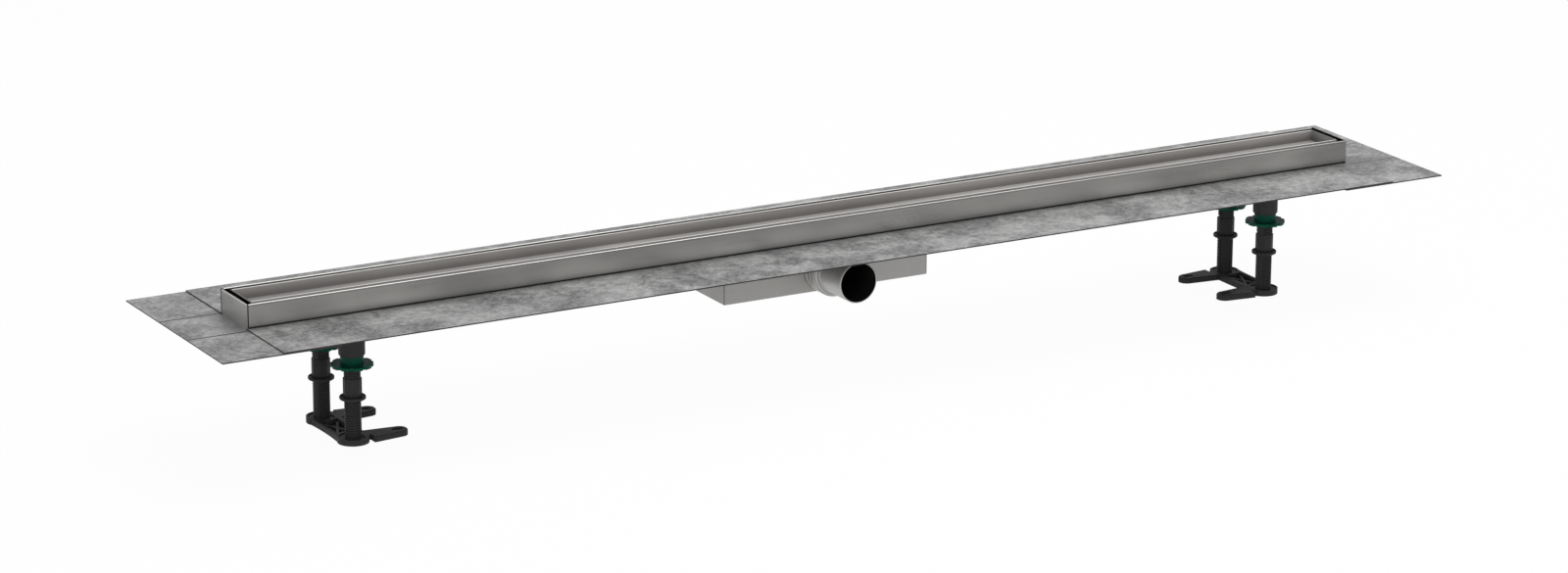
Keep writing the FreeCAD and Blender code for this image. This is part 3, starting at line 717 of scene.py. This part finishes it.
def turn_outline(drawn, steps, turns=1, rise=0.0):
    """Turns an outline round the Z axis, once or as a screw, and closes its skin."""
    screw = drawn.modifiers.new("Turn", "SCREW")
    screw.steps = steps
    screw.render_steps = steps
    screw.iterations = turns
    screw.screw_offset = rise
    screw.use_merge_vertices = rise == 0.0
    screw.merge_threshold = MERGE_DISTANCE
    apply_modifier(drawn, screw)
    bpy.ops.object.mode_set(mode="EDIT")
    bpy.ops.mesh.select_mode(type="VERT")
    bpy.ops.mesh.select_all(action="SELECT")
    bpy.ops.mesh.remove_doubles(threshold=MERGE_DISTANCE)
    bpy.ops.mesh.fill_holes(sides=0)
    bpy.ops.mesh.select_all(action="SELECT")
    bpy.ops.mesh.normals_make_consistent(inside=False)
    bpy.ops.object.mode_set(mode="OBJECT")
    return drawn


def apply_modifier(piece, modifier):
    """Applies one modifier of a piece."""
    deselect_all()
    piece.select_set(True)
    bpy.context.view_layer.objects.active = piece
    bpy.ops.object.modifier_apply(modifier=modifier.name)


def join_pieces(pieces, name):
    """Joins pieces to one object whose place is in its mesh."""
    deselect_all()
    for piece in pieces:
        piece.select_set(True)
    bpy.context.view_layer.objects.active = pieces[0]
    bpy.ops.object.join()
    joined = bpy.context.object
    joined.name = name
    joined.data.name = name
    bpy.ops.object.transform_apply(location=True, rotation=True, scale=True)
    return joined


# Threaded posts

def post_body(sizes, low, high):
    """Turned part of a post: peg, shaft, ring with its groove, and chamfered top."""
    core = sizes.core_radius
    ring_low, ring_groove = RING_OUTLINE[0][1], RING_OUTLINE[-1][1]
    outline = [
        (0.0, low), (PEG_RADIUS, low), (PEG_RADIUS, PEG_TOP), (core, PEG_TOP),
        (core, ring_low), *RING_OUTLINE, (core, ring_groove),
        (core, high - TOP_CHAMFER), (core - TOP_CHAMFER, high), (0.0, high),
    ]
    return turn_outline(outline_object("post_body", outline, closed=False), TURN_STEPS)


def post_grip():
    """Eight-sided grip above the ring, with softened edges."""
    deselect_all()
    bottom = RING_OUTLINE[-1][1]
    bpy.ops.mesh.primitive_cylinder_add(
        vertices=8, radius=GRIP_HALF / math.cos(math.pi / 8), depth=GRIP_TOP - bottom,
        location=(0, 0, (GRIP_TOP + bottom) / 2), rotation=(0, 0, math.pi / 2))
    grip = bpy.context.object
    bpy.ops.object.transform_apply(location=True, rotation=True, scale=True)
    bpy.ops.object.mode_set(mode="EDIT")
    bpy.ops.mesh.select_all(action="DESELECT")
    bpy.ops.object.mode_set(mode="OBJECT")
    for face in grip.data.polygons:
        face.select = face.normal.z > 0.9
    bpy.ops.object.mode_set(mode="EDIT")
    bpy.ops.mesh.inset(thickness=GRIP_INSET, depth=0.0)
    bpy.ops.transform.translate(value=(0, 0, GRIP_CROWN))
    bpy.ops.object.mode_set(mode="OBJECT")
    soften = grip.modifiers.new("Soften", "BEVEL")
    soften.width = GRIP_ROUNDING
    soften.segments = 2
    soften.limit_method = "ANGLE"
    soften.angle_limit = math.radians(ROUNDED_OVER)
    apply_modifier(grip, soften)
    return grip


def keep_sides(piece, turn, half_angle, low, high):
    """Keeps only two opposite sides of a turned piece, each a wedge round its axis."""
    wedges = []
    for middle in (turn, turn + math.pi):
        deselect_all()
        bpy.ops.mesh.primitive_cube_add(size=WEDGE_SIZE, location=(0, 0, 0))
        wedge = bpy.context.object
        on_corner = Matrix.Translation((WEDGE_SIZE / 2 * math.sqrt(2), 0, 0)) @ Matrix.Rotation(
            math.radians(45), 4, "Z")
        spread = Matrix.Diagonal((
            1, math.tan(half_angle), (high - low + WEDGE_SPARE) / WEDGE_SIZE, 1))
        wedge.data.transform(Matrix.Translation((0, 0, (low + high) / 2)) @ Matrix.Rotation(
            middle, 4, "Z") @ spread @ on_corner)
        wedges.append(wedge)
    cutter = join_pieces(wedges, "kept_sides")
    keep = piece.modifiers.new("Kept sides", "BOOLEAN")
    keep.operation = "INTERSECT"
    keep.solver = "EXACT"
    keep.object = cutter
    apply_modifier(piece, keep)
    bpy.data.objects.remove(cutter)
    return piece


def post_thread(sizes, low, high, name):
    """Screw thread on the two ribbed sides of a post."""
    crest, root = sizes.crest_width / 2, sizes.root_width / 2
    middle = low + root
    inner = sizes.core_radius - SINK
    outline = [(inner, middle - root), (sizes.core_radius, middle - root),
               (sizes.crest_radius, middle - crest), (sizes.crest_radius, middle + crest),
               (sizes.core_radius, middle + root), (inner, middle + root)]
    turns = int((high - low - sizes.root_width) / sizes.pitch)
    thread = turn_outline(outline_object(name, outline, closed=True), sizes.steps, turns,
                          sizes.pitch)
    return keep_sides(thread, math.pi / 2, (math.pi - sizes.smooth_angle) / 2, low, high)


def smooth_sides(sizes, low, high, name):
    """The two sides of a post between its threads, as high as the crests but for a step."""
    inner = sizes.core_radius - SINK
    outline = [(inner, low), (sizes.smooth_radius, low), (sizes.smooth_radius, high), (inner, high)]
    ring = turn_outline(outline_object(name, outline, closed=True), TURN_STEPS)
    return keep_sides(ring, 0.0, sizes.smooth_angle / 2, low, high)


def threaded_post(sizes, low, high):
    """One whole post on the Z axis, its smooth side facing along X."""
    parts = [
        post_body(sizes, low, high),
        post_grip(),
        post_thread(sizes, *LOWER_THREAD, "lower_thread"),
        post_thread(sizes, UPPER_THREAD, high - THREAD_RUNOUT, "upper_thread"),
        smooth_sides(sizes, *LOWER_SIDES, "lower_smooth_sides"),
        smooth_sides(sizes, UPPER_SIDES, high - TOP_CHAMFER, "upper_smooth_sides"),
    ]
    post = join_pieces(parts, "threaded_post")
    deselect_all()
    post.select_set(True)
    bpy.context.view_layer.objects.active = post
    bpy.ops.object.shade_smooth_by_angle(angle=math.radians(SHARP_OVER))
    return post


# Studio

def seen_directly(tree):
    """1 for rays that show the background as it is: camera, glossy and transmission."""
    rays = tree.nodes.new("ShaderNodeLightPath").outputs
    either = worked_out(tree, "MAXIMUM", rays["Is Camera Ray"], rays["Is Glossy Ray"])
    return worked_out(tree, "MAXIMUM", either, rays["Is Transmission Ray"])


def floor_finish(look):
    """Pale floor that looks white and keeps a light shadow."""
    finish, tree, surface, place = new_finish("studio_floor")
    speckle = noise(tree, place, FLOOR_SPECKLE, detail=2.0)
    tree.links.new(two_tones(tree, speckle, scaled_tone(look.floor_tone, 0.99), look.floor_tone),
                   surface.inputs["Base Color"])
    surface.inputs["Roughness"].default_value = 0.9
    surface.inputs["Specular IOR Level"].default_value = 0.0
    glow = tree.nodes.new("ShaderNodeEmission")
    blend = tree.nodes.new("ShaderNodeMixShader")
    tree.links.new(product_of(tree, seen_directly(tree), look.floor_glow), blend.inputs[0])
    tree.links.new(surface.outputs[0], blend.inputs[1])
    tree.links.new(glow.outputs[0], blend.inputs[2])
    tree.links.new(blend.outputs[0], tree.nodes["Material Output"].inputs["Surface"])
    return finish


def light_room(look):
    """Even light from all round; the background itself is white."""
    world = bpy.data.worlds.new("studio_room")
    world.use_nodes = True
    tree = world.node_tree
    strength = tree.nodes.new("ShaderNodeMapRange")
    strength.inputs["To Min"].default_value = look.room_light
    strength.inputs["To Max"].default_value = 1.0
    tree.links.new(seen_directly(tree), strength.inputs["Value"])
    background = tree.nodes["Background"]
    background.inputs["Color"].default_value = (1, 1, 1, 1)
    tree.links.new(strength.outputs["Result"], background.inputs["Strength"])
    bpy.context.scene.world = world


def hang_lamp(name, place, target, size, power):
    """A wide soft lamp that points at a target."""
    deselect_all()
    aim = (Vector(target) - Vector(place)).to_track_quat("-Z", "Y").to_euler()
    bpy.ops.object.light_add(type="AREA", location=place, rotation=aim)
    lamp = bpy.context.object
    lamp.name = name
    lamp.data.shape = "RECTANGLE"
    lamp.data.size, lamp.data.size_y = size
    lamp.data.energy = power


def place_camera():
    """Camera at the photograph's place, turned by azimuth, elevation and roll."""
    azimuth, elevation, roll = (math.radians(angle) for angle in (
        CAMERA_AZIMUTH, CAMERA_ELEVATION, CAMERA_ROLL))
    back = Vector((math.sin(azimuth) * math.cos(elevation),
                   -math.cos(azimuth) * math.cos(elevation), math.sin(elevation)))
    level = (-back).cross(Vector((0, 0, 1))).normalized()
    under = (-back).cross(level)
    right = math.cos(roll) * level + math.sin(roll) * under
    down = math.cos(roll) * under - math.sin(roll) * level
    turn = Matrix((right, -down, back)).transposed().to_4x4()
    deselect_all()
    bpy.ops.object.camera_add(location=CAMERA_PLACE)
    camera = bpy.context.object
    camera.name = "photo_camera"
    camera.matrix_world = Matrix.Translation(CAMERA_PLACE) @ turn
    camera.data.sensor_fit = "HORIZONTAL"
    camera.data.sensor_width = CAMERA_SENSOR
    camera.data.lens = CAMERA_LENS
    camera.data.clip_end = CAMERA_SIGHT
    bpy.context.scene.camera = camera


# Operators

class DRAIN_OT_sheets(Operator):
    """Gives the channel, its flanges and the corner plates their mottled finish."""

    bl_idname = "drain.sheets"
    bl_label = "Channel and flanges"

    def execute(self, context):
        dress(FLANGE_NODES, pickled_sheet(context.scene.drain_sheet))
        return {"FINISHED"}


class DRAIN_OT_frame(Operator):
    """Gives the raised frame and its crossbars brushed steel."""

    bl_idname = "drain.frame"
    bl_label = "Frame"

    def execute(self, context):
        look = context.scene.drain_frame
        dress(RAIL_NODES, brushed_steel(
            "brushed_rails", look, look.frame_tone, roughness=0.30, metal=1.0, waves=0.36,
            layers=[(top_edge, look.rim_tone), (rail_foot, look.seam_tone)], shade=rail_height))
        dress(FRAME_END_NODES, brushed_steel(
            "brushed_ends", look, look.end_tone, roughness=0.34, metal=1.0, waves=0.25,
            layers=[(top_edge, scaled_tone(look.rim_tone, 0.8))], joints=end_joints))
        dress(CROSSBAR_NODES, rolled_steel(
            "crossbar_steel", look.frame_tone, roughness=0.4, metal=1.0))
        return {"FINISHED"}


class DRAIN_OT_tray(Operator):
    """Gives the tile tray brushed steel, and its end slots black spacers."""

    bl_idname = "drain.tray"
    bl_label = "Tile tray"

    def execute(self, context):
        look = context.scene.drain_frame
        plastic = context.scene.drain_plastic
        dress(["cover_tray"], brushed_steel(
            "brushed_tray", look, look.tray_tone, roughness=0.52, metal=0.5, waves=0.22,
            layers=[(tray_lips, look.lip_tone), (tray_end_lips, scaled_tone(look.tray_tone, 0.40)),
                    (tray_outside, scaled_tone(look.tray_tone, 1.3))], shade=tray_depth))
        dress(SPACER_NODES, moulded_plastic(
            "spacer_foam", scaled_tone(plastic.rubber_tone, 0.1), roughness=0.9, gloss=0.0))
        return {"FINISHED"}


class DRAIN_OT_trap_box(Operator):
    """Gives the trap box, its outlet and the leg brackets plain rolled steel."""

    bl_idname = "drain.trap_box"
    bl_label = "Trap box and outlet"

    def execute(self, context):
        look = context.scene.drain_sheet
        dress(BOX_NODES, rolled_steel(
            "box_sheet", look.box_tone, roughness=0.5, metal=0.45,
            mask=box_folds, mask_tone=scaled_tone(look.box_tone, 0.35)))
        dress(["outlet_pipe"], rolled_steel(
            "outlet_steel", look.outlet_tone, roughness=0.50, metal=0.45, shade=pipe_height,
            mask=inside_pipe, mask_tone=look.bore_tone))
        # Painted light: the collar's tone raised above the pipe's, with painted shade in its
        # grooves
        dress(["outlet_collar"], rolled_steel(
            "collar_steel", scaled_tone(look.outlet_tone, 1.4), roughness=0.50, metal=0.45,
            mask=collar_marks, mask_tone=scaled_tone(look.outlet_tone, 0.4)))
        return {"FINISHED"}


class DRAIN_OT_trap_insert(Operator):
    """Gives the hidden trap, its strainer and the seals their plastics."""

    bl_idname = "drain.trap_insert"
    bl_label = "Trap insert and seals"

    def execute(self, context):
        plastic = context.scene.drain_plastic
        dress(TRAP_NODES, moulded_plastic(
            "trap_plastic", plastic.trap_tone, roughness=0.4, gloss=0.5, spread=0.1))
        dress(RUBBER_NODES, moulded_plastic(
            "seal_rubber", plastic.rubber_tone, roughness=0.7, gloss=0.2))
        return {"FINISHED"}


class DRAIN_OT_legs(Operator):
    """Gives the sockets, nuts and foot plates their moulded plastics."""

    bl_idname = "drain.legs"
    bl_label = "Sockets, nuts and feet"

    def execute(self, context):
        plastic = context.scene.drain_plastic
        dress(SOCKET_NODES + PLATE_NODES, moulded_plastic(
            "black_plastic", plastic.black_tone, roughness=0.55, gloss=0.08))
        dress(NUT_NODES, moulded_plastic(
            "green_plastic", plastic.green_tone, roughness=0.42, gloss=0.08, spread=0.18))
        return {"FINISHED"}


class DRAIN_OT_posts(Operator):
    """Models one post with its screw thread and copies it to the four legs."""

    bl_idname = "drain.posts"
    bl_label = "Threaded posts"

    def execute(self, context):
        sizes = context.scene.drain_thread
        low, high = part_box("threaded_post_left_front")
        pattern = threaded_post(sizes, low.z, high.z)
        finish = moulded_plastic("post_plastic", context.scene.drain_plastic.post_tone,
                                 roughness=0.5, gloss=0.08)
        for (end, side), angle in POST_FACING.items():
            node = "threaded_post_%s_%s" % (end, side)
            low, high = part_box(node)
            middle = (low + high) / 2
            post = pattern.copy()
            post.data = pattern.data.copy()
            post.name = "screw_post_%s_%s" % (end, side)
            post.data.name = post.name
            context.scene.collection.objects.link(post)
            post.data.transform(Matrix.Translation((middle.x, middle.y, 0)) @ Matrix.Rotation(
                math.radians(angle), 4, "Z"))
            post.data.materials.clear()
            post.data.materials.append(finish)
            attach(post, "foot_" + end)
            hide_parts(node)
        bpy.data.objects.remove(pattern)
        return {"FINISHED"}


class DRAIN_OT_studio(Operator):
    """Lays the pale floor, hangs the soft lamps and places the camera."""

    bl_idname = "drain.studio"
    bl_label = "Studio"

    def execute(self, context):
        look = context.scene.drain_studio
        deselect_all()
        bpy.ops.mesh.primitive_plane_add(size=FLOOR_SIZE, location=(0, 0, -look.floor_drop))
        floor = context.object
        floor.name = "studio_floor"
        floor.data.materials.append(floor_finish(look))
        light_room(look)
        hang_lamp("top_lamp", *TOP_LAMP, look.top_power)
        hang_lamp("side_lamp", *SIDE_LAMP, look.side_power)
        place_camera()
        context.scene.view_settings.view_transform = "Standard"
        return {"FINISHED"}


# Panel and registration

class DRAIN_PT_panel(Panel):
    """Lists the drain's groups in the sidebar."""

    bl_label = "Shower drain"
    bl_idname = "DRAIN_PT_panel"
    bl_space_type = "VIEW_3D"
    bl_region_type = "UI"
    bl_category = "Drain"

    def draw(self, context):
        for group in GROUPS:
            box = self.layout.box()
            settings = getattr(context.scene, group)
            for name in settings.bl_rna.properties.keys():
                if name not in ("rna_type", "name"):
                    box.prop(settings, name)
        for operator in OPERATORS:
            self.layout.operator(operator.bl_idname)


GROUPS = {
    "drain_sheet": SheetLook,
    "drain_frame": FrameLook,
    "drain_plastic": PlasticLook,
    "drain_thread": ThreadSizes,
    "drain_studio": StudioLook,
}
OPERATORS = (
    DRAIN_OT_sheets,
    DRAIN_OT_frame,
    DRAIN_OT_tray,
    DRAIN_OT_trap_box,
    DRAIN_OT_trap_insert,
    DRAIN_OT_legs,
    DRAIN_OT_posts,
    DRAIN_OT_studio,
)


def register():
    """Registers the settings, the operators and the panel."""
    for name, group in GROUPS.items():
        bpy.utils.register_class(group)
        setattr(bpy.types.Scene, name, PointerProperty(type=group))
    for operator in OPERATORS:
        bpy.utils.register_class(operator)
    bpy.utils.register_class(DRAIN_PT_panel)


def unregister():
    """Takes the panel, the operators and the settings away again."""
    bpy.utils.unregister_class(DRAIN_PT_panel)
    for operator in reversed(OPERATORS):
        bpy.utils.unregister_class(operator)
    for name, group in GROUPS.items():
        delattr(bpy.types.Scene, name)
        bpy.utils.unregister_class(group)


def main():
    """Registers everything and dresses the whole drain."""
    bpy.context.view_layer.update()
    register()
    bpy.ops.drain.sheets()
    bpy.ops.drain.frame()
    bpy.ops.drain.tray()
    bpy.ops.drain.trap_box()
    bpy.ops.drain.trap_insert()
    bpy.ops.drain.legs()
    bpy.ops.drain.posts()
    bpy.ops.drain.studio()


if __name__ == "__main__":
    main()
